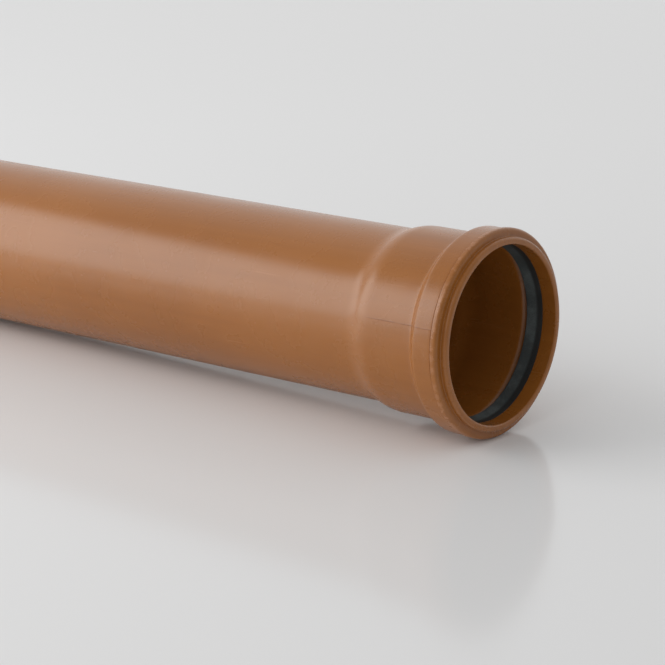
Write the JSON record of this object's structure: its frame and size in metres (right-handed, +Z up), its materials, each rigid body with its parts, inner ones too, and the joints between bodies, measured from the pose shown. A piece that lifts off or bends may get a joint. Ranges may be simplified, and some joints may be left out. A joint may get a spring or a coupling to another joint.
{
  "type": "drain pipe",
  "caption": "Orange-brown plastic drain pipe with a plain chamfered spigot, a formed push-fit socket and a rubber lip seal in the socket's bead",
  "frame": {"origin": "on the floor, under the centre of the bounding box", "axes": "+Z up; +X along the pipe towards the socket's mouth, level, so the pipe's own axis rises towards +X by its resting tilt of about one degree; +Y across the pipe"},
  "size_m": [0.568, 0.1303, 0.1304],
  "materials": {
    "pipe": "semi-gloss orange-brown PVC-U, as extruded, with light handling scuffs",
    "seal": "dark grey rubber, satin"
  },
  "bodies": {
    "root": {"pipe": "pipe", "seal_ring": "seal"}
  },
  "joints": []
}
